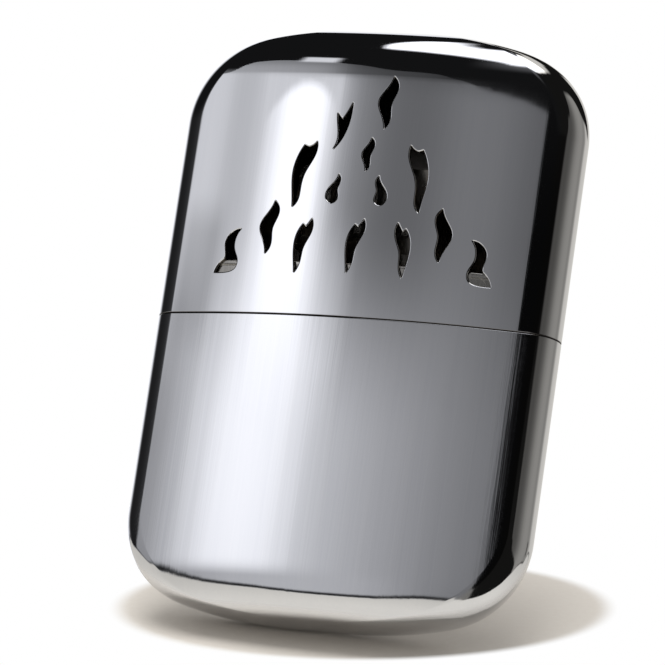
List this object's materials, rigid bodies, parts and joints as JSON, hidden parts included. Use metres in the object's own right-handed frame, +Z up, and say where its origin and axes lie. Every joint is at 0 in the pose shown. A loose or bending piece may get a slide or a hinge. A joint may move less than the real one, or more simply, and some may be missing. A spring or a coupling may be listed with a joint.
{
  "type": "catalytic hand warmer",
  "caption": "Flat oval pocket hand warmer in brushed chrome: fuel tank half with a catalytic burner and a pull-off lid pierced with flame-shaped vents.",
  "frame": {"origin": "middle of the flat at the bottom of the tank half, on which the case stands", "axes": "+Z up along the case's height, +X across its width, the vented face looks towards -Y"},
  "size_m": [0.068, 0.017, 0.0965],
  "materials": {
    "brushed_chrome": "satin, finely brushed along its height, polished edges",
    "bright_collar": "bright plated sheet",
    "burner_steel": "bright pressed sheet",
    "screen_steel": "slotted thin sheet",
    "catalyst": "coated glass-fibre mat",
    "fibre": "glass-fibre filler",
    "felt": "dense felt",
    "cotton": "loose cotton wadding"
  },
  "bodies": {
    "tank": {"tank_shell": "brushed_chrome", "inner_collar": "bright_collar", "tank_top_plate": "bright_collar", "filler_neck": "bright_collar", "neck_felt": "felt", "tank_wadding": "cotton"},
    "burner": {"burner_socket": "burner_steel", "burner_frame_front": "burner_steel", "burner_frame_rear": "burner_steel", "burner_screen_front": "screen_steel", "burner_screen_rear": "screen_steel", "catalyst_mat": "catalyst", "fibre_core": "fibre"},
    "lid": {"lid_shell": "brushed_chrome"}
  },
  "joints": [
    {"name": "lid_lift", "type": "slide", "parent": "tank", "child": "lid", "axis": [0, 0, 1], "range_m": [0, 0.055]},
    {"name": "burner_lift", "type": "slide", "parent": "tank", "child": "burner", "axis": [0, 0, 1], "range_m": [0, 0.015]}
  ]
}
